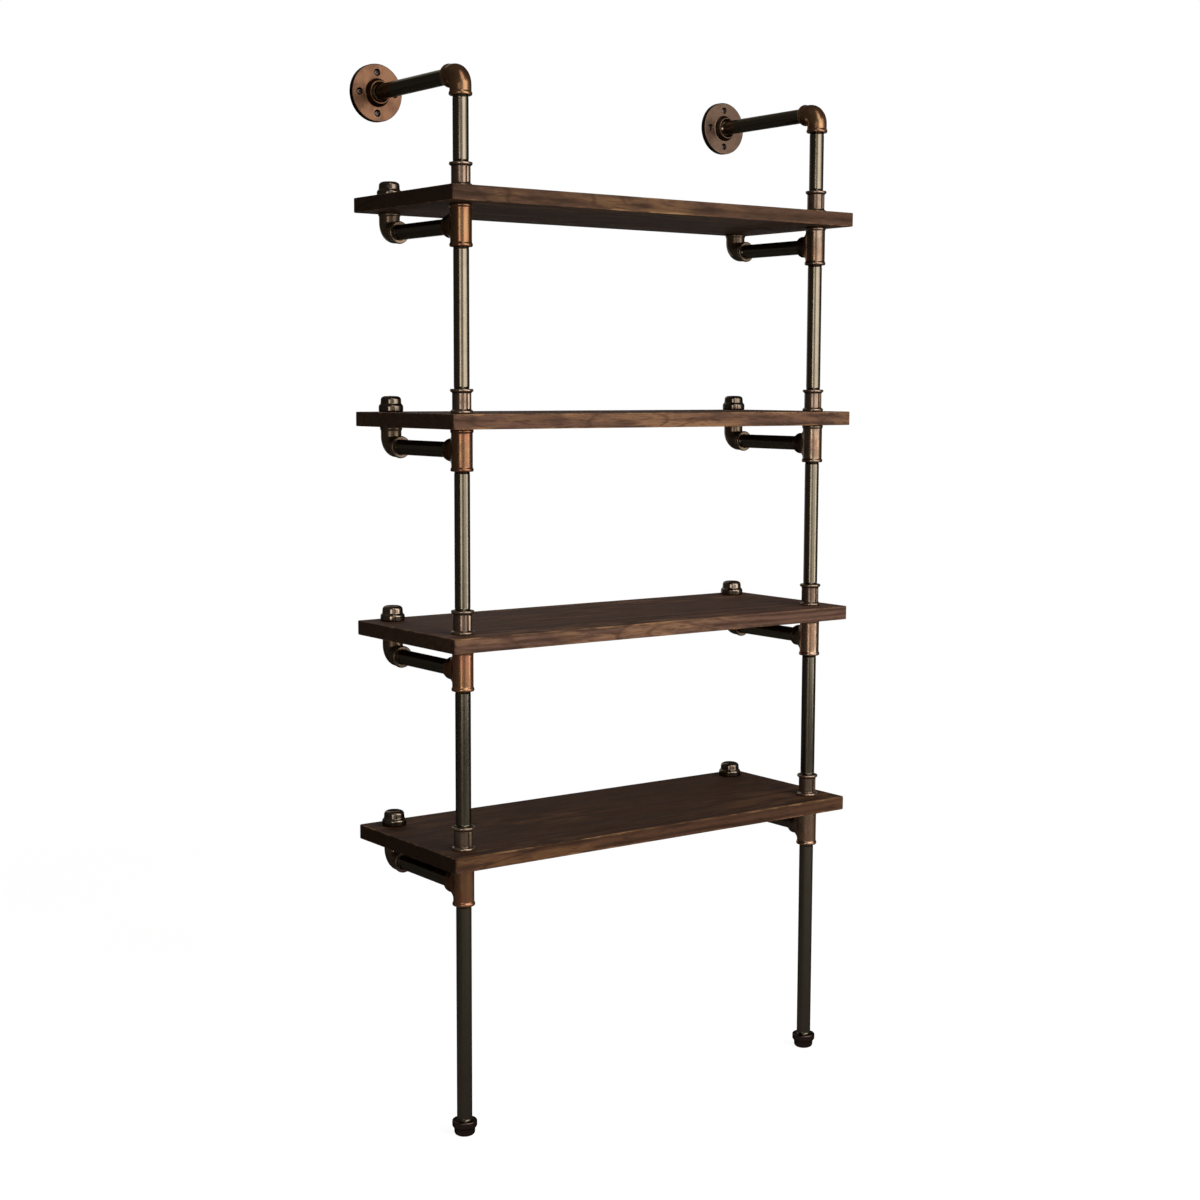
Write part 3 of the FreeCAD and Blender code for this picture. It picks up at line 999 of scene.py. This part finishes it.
@dataclass(frozen=True)
class WallFlange:
    """A cast wall flange with its back at height 0, its hub up and four countersunk holes."""

    radius: float = 49.9 * MM
    thickness: float = 11.0 * MM
    hub_base: float = 23.0 * MM
    hub_tip: float = 20.0 * MM
    hub_height: float = 11.0 * MM
    mouth: float = 18.2 * MM
    mouth_depth: float = 6.0 * MM
    bore: float = SOCKET_BORE
    bolt_circle: float = 35.0 * MM
    hole: float = 3.0 * MM
    sink: float = 6.5 * MM
    hole_count: int = 4

    def bolt_places(self) -> list[Vector]:
        """Return the places of the holes on the flange's face."""
        turns = [index * math.tau / self.hole_count for index in range(self.hole_count)]
        return [
            Vector((math.sin(turn) * self.bolt_circle, math.cos(turn) * self.bolt_circle, self.thickness))
            for turn in turns
        ]

    def mesh(self) -> BMesh:
        """Return the flange's mesh."""
        top = self.thickness + self.hub_height
        disc = turned(
            [
                Corner(self.bore, 0.0),
                Corner(self.radius, 0.0, 0.8 * MM),
                Corner(self.radius, self.thickness, 1.5 * MM),
                Corner(self.hub_base + 0.8 * MM, self.thickness, 1.6 * MM),
                Corner(self.hub_tip, top, 0.7 * MM),
                Corner(self.mouth, top, 0.4 * MM),
                Corner(self.bore, top - self.mouth_depth, 0.3 * MM),
            ],
            steps=96,
        )
        return carve(disc, self._hole_cutter())

    def _hole_cutter(self) -> BMesh:
        """Return the four countersinks and holes as one mesh."""
        over = 1.0 * MM
        cutter = bmesh.new()
        for place in self.bolt_places():
            tool = turned(
                [
                    Corner(0.0, -self.thickness - over),
                    Corner(self.hole, -self.thickness - over),
                    Corner(self.hole, self.hole - self.sink),
                    Corner(self.sink + over, over),
                    Corner(0.0, over),
                ],
                steps=40,
            )
            tool.transform(Matrix.Translation(place))
            copy = mesh_data("tool", tool)
            cutter.from_mesh(copy)
            bpy.data.meshes.remove(copy)
        return cutter


@dataclass(frozen=True)
class WallScrew:
    """A countersunk screw with a cross recess. Its head's middle is at its own origin, its shank down."""

    head: float = 3.7 * MM
    shank: float = 2.5 * MM
    length: float = 7.0 * MM
    recess: float = 2.1 * MM
    slot: float = 0.9 * MM
    slot_height: float = 2.4 * MM
    slot_middle: float = 0.2 * MM
    slot_turns: tuple[float, float] = (20.0, 110.0)

    def mesh(self) -> BMesh:
        """Return the screw's mesh."""
        blank = turned(
            [
                Corner(0.0, -self.length),
                Corner(self.shank, -self.length, 0.3 * MM),
                Corner(self.shank, self.shank - self.head, 0.3 * MM),
                Corner(self.head, 0.0, 0.35 * MM),
                Corner(self.head * 0.6, 0.35 * MM),
                Corner(0.0, 0.5 * MM),
            ],
            steps=40,
        )
        arm = Matrix.Diagonal((2 * self.recess, 2 * self.slot, self.slot_height, 1.0))
        for turn in self.slot_turns:
            place = Matrix.Rotation(math.radians(turn), 4, "Z") @ Matrix.Translation(UP * self.slot_middle)
            cutter = bmesh.new()
            bmesh.ops.create_cube(cutter, size=1.0, matrix=place @ arm)
            blank = carve(blank, cutter)
        return blank


@dataclass(frozen=True)
class ShelfBoard:
    """A thick board with rounded corners, eased and slightly uneven edges, and four pipe holes.

    Each wander is a scale and a share of the noise that makes the edges uneven.
    """

    low: Vector
    high: Vector
    holes: tuple[tuple[float, float], ...]
    hole_radius: float = 13.75 * MM
    corner: float = 5.0 * MM
    easing: float = 1.7 * MM
    unevenness: float = 0.35 * MM
    slices: int = 60
    wanders: Profile = ((9.0, 0.6), (31.0, 0.4))

    def mesh(self) -> BMesh:
        """Return the board's mesh in its place."""
        size = self.high - self.low
        middle = (self.high + self.low) / 2
        board = bmesh.new()
        scale = Matrix.Diagonal((*size, 1.0))
        bmesh.ops.create_cube(board, size=1.0, matrix=Matrix.Translation(middle) @ scale)
        bevel(board, [edge for edge in board.edges if rise_of(edge) > size.z / 2], self.corner, 6)
        rounded = [edge for edge in board.edges if any(len(face.verts) > 4 for face in edge.link_faces)]
        bevel(board, [edge for edge in rounded if rise_of(edge) < MM], self.easing, 4)
        for index in range(1, self.slices):
            across = self.low.x + size.x * index / self.slices
            geometry = [*board.verts, *board.edges, *board.faces]
            bmesh.ops.bisect_plane(board, geom=geometry, plane_co=(across, 0, 0), plane_no=(1, 0, 0))
        self._wear_edges(board, middle)
        cutter = bmesh.new()
        for across, along in self.holes:
            bmesh.ops.create_cone(
                cutter, cap_ends=True, segments=48, radius1=self.hole_radius, radius2=self.hole_radius,
                depth=size.z * 2, matrix=Matrix.Translation((across, along, middle.z)),
            )
        return carve(board, cutter)

    def _wear_edges(self, board: BMesh, middle: Vector) -> None:
        """Pull the board's skin in a little, by an amount that wanders along its length."""
        for vert in board.verts:
            wander = sum(noise.noise(vert.co * scale) * share for scale, share in self.wanders)
            pull = self.unevenness * (0.5 + 0.5 * wander)
            for axis in (1, 2):
                vert.co[axis] -= math.copysign(pull, vert.co[axis] - middle[axis])


def rise_of(edge: BMEdge) -> float:
    """Return how far an edge goes up."""
    return abs(edge.verts[0].co.z - edge.verts[1].co.z)


def middle_of(node: str, axis: str) -> float:
    """Return the middle of a CAD node's box along the x, y or z axis."""
    return sum(getattr(corner, axis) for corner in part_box(node)) / 2


@dataclass(frozen=True)
class Layout:
    """Where the pieces stand, read from the boxes of the CAD nodes."""

    across: float
    front: float
    rear: float
    pipe_radius: float = 13.35 * MM
    levels: int = 4

    @classmethod
    def from_frame(cls) -> "Layout":
        """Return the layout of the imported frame."""
        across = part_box("leg_pipes")[1].x - cls.pipe_radius
        return cls(across, middle_of("leg_pipes", "y"), middle_of("rear_nipples", "y"))

    def at(self, side: Side, along: float, height: float, facing: Facing = Facing.UP) -> Matrix:
        """Return the matrix that turns a piece and carries it to its place.

        Args:
            side: The side of the bookcase that it is on.
            along: Its place along Y.
            height: Its height above the floor.
            facing: Where its +Z points.

        Returns:
            The matrix.
        """
        place = Matrix.Translation((side.value * self.across, along, height))
        return place @ Matrix.Rotation(math.radians(facing.value), 4, "X")


@dataclass(frozen=True)
class Bookcase:
    """The whole bookcase, one method for each of its sub-assemblies.

    The board tones multiply each board's colours, from the highest level down. The tee, coupling and cap
    shares, also from the highest level down, are painted light: brighter and darker copies of a finish for
    the castings of each level, as bright as the light falls on them there.
    """

    layout: Layout
    bench: Bench = Bench()
    board_tones: tuple[Colour, ...] = (
        (0.72, 0.70, 0.61), (1.05, 1.02, 0.98), (1.12, 1.12, 1.12), (0.66, 0.59, 0.48)
    )
    tee_shines: tuple[float, ...] = (0.88, 1.0, 1.6, 1.5)
    coupling_shines: tuple[float, ...] = (1.0, 1.0, 1.0, 1.3)
    cap_shines: tuple[float, ...] = (0.9, 0.78, 1.25, 1.0)
    # Where the painted shade on each tee's branch starts, behind the front row.
    branch_start: float = 11.0 * MM
    nipple_thread: float = 16.0 * MM
    screw_seat: float = 2.8 * MM

    def build(self) -> None:
        """Build every piece."""
        for level in range(1, self.layout.levels + 1):
            self.build_shelf(level)
            for side in Side:
                self.build_front_joint(level, side)
                self.build_rear_joint(level, side)
        for side in Side:
            self.build_upright(side)
            self.build_wall_fixing(side)

    def build_shelf(self, level: int) -> None:
        """Build one board."""
        node = f"shelf_{level}"
        low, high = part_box(node)
        lay = self.layout
        holes = tuple((side.value * lay.across, along) for side in Side for along in (lay.front, lay.rear))
        offset = (0.37 * level, 0.11 * level - 0.2, 0.13 - low.z)
        tone = self.board_tones[level - 1]
        finish = WoodFinish(f"stained_board_{level}", tuple(low), tuple(high), offset, tone)
        board = ShelfBoard(low, high, holes).mesh()
        self.bench.set_out(f"{node}_board", board, Matrix.Identity(4), finish, node)

    def build_front_joint(self, level: int, side: Side) -> None:
        """Build the tee, coupling, nipple and arm on one side of a level."""
        lay = self.layout
        tag = f"{side.label}_{level}"
        node = f"tees_{level}"
        tee = Tee()
        metal = FITTING_FINISH if side is Side.LEFT else PALE_FITTING_FINISH
        # Painted light: a brighter or darker copy of the finish for this level.
        metal = metal.shaded(level, self.tee_shines[level - 1])
        # Painted shade on the tee's branch, darker towards the wall.
        metal = replace(metal, sunk_from=lay.front + self.branch_start)
        place = lay.at(side, lay.front, middle_of(node, "z"))
        self.bench.set_out(f"tee_{tag}", tee.mesh(), place, metal, node, tee.rounds)
        # Painted light: a brighter or darker copy of the finish for this level.
        metal = COUPLING_FINISH.shaded(level, self.coupling_shines[level - 1])
        place = lay.at(side, lay.front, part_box(f"shelf_{level}")[1].z)
        self.bench.set_out(f"coupling_{tag}", Coupling().mesh(), place, metal, f"couplings_{level}")
        self._set_nipple("front", level, side, lay.front)
        self._set_arm(f"shelf_arm_{tag}", side, f"shelf_arms_{level}")

    def build_rear_joint(self, level: int, side: Side) -> None:
        """Build the elbow, nipple and cap on one side of a level."""
        lay = self.layout
        tag = f"{side.label}_{level}"
        place = lay.at(side, lay.rear, middle_of(f"shelf_arms_{level}", "z"))
        # The rear elbow's darker finish is painted shade under the shelf.
        self.bench.set_out(f"rear_elbow_{tag}", Elbow().mesh(), place, SHADED_REAR_ELBOW_FINISH, f"rear_elbows_{level}")
        # Painted light: a brighter or darker copy of the finish for this level.
        metal = CAP_FINISH.shaded(level, self.cap_shines[level - 1])
        place = lay.at(side, lay.rear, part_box(f"shelf_{level}")[1].z)
        self.bench.set_out(f"rear_cap_{tag}", Cap().mesh(), place, metal, f"rear_caps_{level}")
        self._set_nipple("rear", level, side, lay.rear)

    def build_upright(self, side: Side) -> None:
        """Build the pipes of one upright and its foot cap."""
        lay = self.layout
        names = {"leg_pipes": "leg_pipe", "top_pipes": "top_pipe"}
        names |= {f"riser_pipes_{level}": f"riser_pipe_{level}" for level in range(2, lay.levels + 1)}
        for node, name in names.items():
            low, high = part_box(node)
            pipe = ThreadedPipe(high.z - low.z, lay.pipe_radius)
            place = lay.at(side, lay.front, low.z)
            self.bench.set_out(f"{name}_{side.label}", pipe.mesh(), place, PIPE_FINISH, node)
        place = lay.at(side, lay.front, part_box("foot_caps")[1].z, Facing.DOWN)
        # The foot cap's darker finish is painted shade near the floor.
        self.bench.set_out(f"foot_cap_{side.label}", Cap().mesh(), place, SHADED_FOOT_FINISH, "foot_caps")

    def build_wall_fixing(self, side: Side) -> None:
        """Build the top elbow, the wall arm, the flange and its screws on one side."""
        lay = self.layout
        height = middle_of("wall_arms", "z")
        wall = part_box("wall_flanges")[1].y
        place = lay.at(side, lay.front, height, Facing.DOWN)
        self.bench.set_out(f"top_elbow_{side.label}", Elbow().mesh(), place, LIT_TOP_ELBOW_FINISH, "top_elbows")
        self._set_arm(f"wall_arm_{side.label}", side, "wall_arms")
        flange = WallFlange()
        metal = FLANGE_FINISH if side is Side.LEFT else PALE_FLANGE_FINISH
        # Painted shade in the countersinks, behind the flange's face.
        metal = replace(metal, sunk_from=wall - flange.thickness)
        place = lay.at(side, wall, height, Facing.FRONT)
        self.bench.set_out(f"wall_flange_{side.label}", flange.mesh(), place, metal, "wall_flanges")
        for number, spot in enumerate(flange.bolt_places(), start=1):
            seat = place @ Matrix.Translation(spot - UP * self.screw_seat)
            self.bench.set_out(f"wall_screw_{side.label}_{number}", WallScrew().mesh(), seat, SCREW_FINISH)

    def _set_arm(self, name: str, side: Side, node: str) -> None:
        """Set a pipe that runs towards the wall and stands for a CAD node."""
        low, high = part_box(node)
        arm = ThreadedPipe(high.y - low.y, self.layout.pipe_radius)
        place = self.layout.at(side, low.y, middle_of(node, "z"), Facing.WALL)
        self.bench.set_out(name, arm.mesh(), place, PIPE_FINISH, node)

    def _set_nipple(self, row: str, level: int, side: Side, along: float) -> None:
        """Set the short threaded pipe that goes through a shelf.

        Args:
            row: The row of nipples, front or rear.
            level: The shelf's level.
            side: The side of the bookcase.
            along: The row's place along Y.
        """
        lay = self.layout
        low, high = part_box(f"shelf_{level}")
        node = f"{row}_nipples"
        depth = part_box(node)[1].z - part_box("shelf_1")[1].z
        nipple = ThreadedPipe(high.z - low.z + 2 * depth, lay.pipe_radius, thread_length=self.nipple_thread)
        place = lay.at(side, along, low.z - depth)
        self.bench.set_out(f"{row}_nipple_{side.label}_{level}", nipple.mesh(), place, PIPE_FINISH, node)


@dataclass(frozen=True)
class PhotoCamera:
    """The camera of the photograph, fitted to the pipes and shelf corners that it shows."""

    place: tuple[float, float, float] = (-2.1632, -2.9176, 1.2969)
    yaw: float = 36.267
    pitch: float = 6.214
    roll: float = 0.197
    lens: float = 59.04

    def build(self) -> None:
        """Make the camera and put it in use."""
        data = bpy.data.cameras.new("photo_camera")
        data.lens = self.lens
        camera = linked("photo_camera", data)
        turn = Matrix.Rotation(math.radians(-self.yaw), 4, "Z")
        tilt = Matrix.Rotation(math.radians(90.0 - self.pitch), 4, "X")
        lean = Matrix.Rotation(math.radians(self.roll), 4, "Z")
        camera.matrix_world = Matrix.Translation(self.place) @ turn @ tilt @ lean
        bpy.context.scene.camera = camera


@dataclass(frozen=True)
class SoftBox:
    """An upright soft box that faces the bookcase. Its azimuth is in degrees from -Y towards +X."""

    name: str
    azimuth: float
    distance: float
    width: float
    bottom: float
    top: float
    radiance: float
    colour: Colour = (1.0, 1.0, 1.0)
    mirrored_only: bool = False

    def build(self) -> None:
        """Make the lamp."""
        height = self.top - self.bottom
        data = bpy.data.lights.new(self.name, "AREA")
        data.shape = "RECTANGLE"
        data.size = self.width
        data.size_y = height
        data.energy = self.radiance * math.pi * self.width * height
        data.color = self.colour
        lamp = linked(self.name, data)
        turn = math.radians(self.azimuth)
        out = Vector((math.sin(turn), -math.cos(turn), 0.0))
        place = out * self.distance + Vector((0, 0, (self.top + self.bottom) / 2))
        lamp.matrix_world = Matrix.Translation(place) @ out.to_track_quat("Z", "Y").to_matrix().to_4x4()
        lamp.visible_camera = False
        lamp.visible_diffuse = not self.mirrored_only


@dataclass(frozen=True)
class Studio:
    """The pale floor, the white background and the soft light.

    A range says where an effect sets in: by a direction's height for the ceiling and for the backdrop's lower
    and upper edge, by how far it points behind the bookcase for the backdrop, and in metres on the floor.
    """

    boxes: tuple[SoftBox, ...]
    behind: float = 36.5
    fill: float = 0.075
    overhead: float = 0.13
    ceiling_range: Range = (0.35, 0.85)
    lower_range: Range = (-0.02, 0.0)
    upper_range: Range = (0.05, 0.12)
    backdrop_range: Range = (0.72, 0.92)
    floor_tone: float = 0.31
    floor_glow: float = 0.92
    floor_size: float = 12.0
    floor_backdrop_range: Range = (4.2, 5.8)
    floor_white_range: Range = (0.9, 3.2)

    def build(self) -> None:
        """Set the view, the world, the lamps and the floor."""
        bpy.context.scene.view_settings.view_transform = "Standard"
        for box in self.boxes:
            box.build()
        self._build_world()
        self._build_floor()

    def _behind(self, sheet: NodeSheet, where: object, limits: Range) -> bpy.types.NodeSocket:
        """Return a socket that grows from 0 to 1 towards the side behind the bookcase."""
        turn = math.radians(self.behind)
        towards = (math.sin(turn), math.cos(turn), 0.0)
        dot = sheet.node("ShaderNodeVectorMath", {0: where, 1: towards}, operation="DOT_PRODUCT")
        return sheet.fade(dot.outputs["Value"], *limits)

    def _shown_to(self, sheet: NodeSheet, backdrop: object) -> bpy.types.NodeSocket:
        """Return 1 for a ray that shows the white background, and 0 for one that carries its light.

        Args:
            sheet: The nodes of the world or of the floor.
            backdrop: How far a glossy or clear surface sees the backdrop in a ray's direction.

        Returns:
            The socket with that share.
        """
        path = sheet.node("ShaderNodeLightPath").outputs
        mirrored = sheet.math("MAXIMUM", path["Is Glossy Ray"], path["Is Transmission Ray"])
        return sheet.math("MAXIMUM", path["Is Camera Ray"], sheet.product(mirrored, backdrop))

    def _build_world(self) -> None:
        """Make the world: a dim room with a brighter ceiling, and a white backdrop that the camera sees."""
        world = bpy.data.worlds.new("studio")
        world.use_nodes = True
        bpy.context.scene.world = world
        sheet = NodeSheet(world.node_tree)
        where = sheet.coordinate("Generated")
        height = sheet.part(where, "Z")
        room = sheet.fade(height, *self.ceiling_range, self.fill, self.overhead)
        upper = sheet.fade(height, *self.upper_range, 1.0, 0.0)
        band = sheet.product(upper, sheet.fade(height, *self.lower_range))
        backdrop = sheet.product(self._behind(sheet, where, self.backdrop_range), band)
        share = self._shown_to(sheet, backdrop)
        strength = sheet.math("ADD", share, sheet.product(room, sheet.less(1.0, share)))
        light = sheet.node("ShaderNodeBackground", {"Color": (1, 1, 1, 1), "Strength": strength})
        sheet.show(light, "World")

    def _build_floor(self) -> None:
        """Make the pale floor, which keeps the shadow and fades to white away from the bookcase."""
        mesh = bmesh.new()
        bmesh.ops.create_grid(mesh, x_segments=1, y_segments=1, size=self.floor_size / 2)
        floor = linked("floor", mesh_data("floor", mesh))
        material, sheet = new_material("pale_floor")
        where = sheet.coordinate()
        distance = sheet.node("ShaderNodeVectorMath", {0: where}, operation="LENGTH").outputs["Value"]
        away = sheet.fade(distance, *self.floor_white_range)
        share = self._shown_to(sheet, self._behind(sheet, where, self.floor_backdrop_range))
        glow = sheet.math("MULTIPLY_ADD", away, 1.0 - self.floor_glow, self.floor_glow)
        tone = sheet.product(sheet.less(1.0, sheet.product(away, share)), self.floor_tone)
        grey = sheet.node("ShaderNodeCombineColor", {0: tone, 1: tone, 2: tone})
        matt = sheet.node("ShaderNodeBsdfDiffuse", {"Color": grey.outputs[0]})
        shine = sheet.node("ShaderNodeEmission", {"Strength": sheet.product(glow, share)})
        sheet.show(sheet.node("ShaderNodeAddShader", {0: matt.outputs[0], 1: shine.outputs[0]}))
        floor.data.materials.append(material)


SOFT_BOXES = (
    SoftBox("front_box", azimuth=9.0, distance=3.2, width=2.46, bottom=1.15, top=3.3, radiance=4.3),
    SoftBox("low_box", azimuth=9.0, distance=3.2, width=2.46, bottom=0.32, top=1.15, radiance=1.75),
    SoftBox("right_top_box", azimuth=38.5, distance=3.3, width=0.99, bottom=1.95, top=3.3, radiance=1.6),
    SoftBox("right_box", azimuth=38.5, distance=3.3, width=0.99, bottom=1.15, top=1.95, radiance=3.3),
    SoftBox("right_low_box", azimuth=38.5, distance=3.3, width=0.99, bottom=0.3, top=1.15, radiance=5.0),
    SoftBox("edge_box", azimuth=60.0, distance=3.4, width=1.2, bottom=0.35, top=3.3, radiance=0.2),
    SoftBox(
        "side_strip", azimuth=-49.5, distance=6.0, width=1.5, bottom=0.1, top=2.35, radiance=4.8,
        colour=(1.0, 0.95, 0.88),
    ),
    SoftBox("left_box", azimuth=-28.0, distance=6.2, width=2.7, bottom=0.1, top=3.0, radiance=0.95),
    SoftBox(
        "upper_box", azimuth=-8.0, distance=3.2, width=2.3, bottom=3.3, top=12.0, radiance=2.6,
        mirrored_only=True,
    ),
    SoftBox("rear_box", azimuth=165.0, distance=3.4, width=3.0, bottom=2.7, top=4.4, radiance=0.9),
    SoftBox(
        "rear_strip", azimuth=178.0, distance=3.4, width=1.4, bottom=0.35, top=2.7, radiance=1.0,
        mirrored_only=True,
    ),
)


def main() -> None:
    """Build the studio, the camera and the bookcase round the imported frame."""
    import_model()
    Studio(SOFT_BOXES).build()
    PhotoCamera().build()
    Bookcase(Layout.from_frame()).build()


if __name__ == "__main__":
    logging.basicConfig(level=logging.INFO, format="%(name)s %(message)s")
    main()
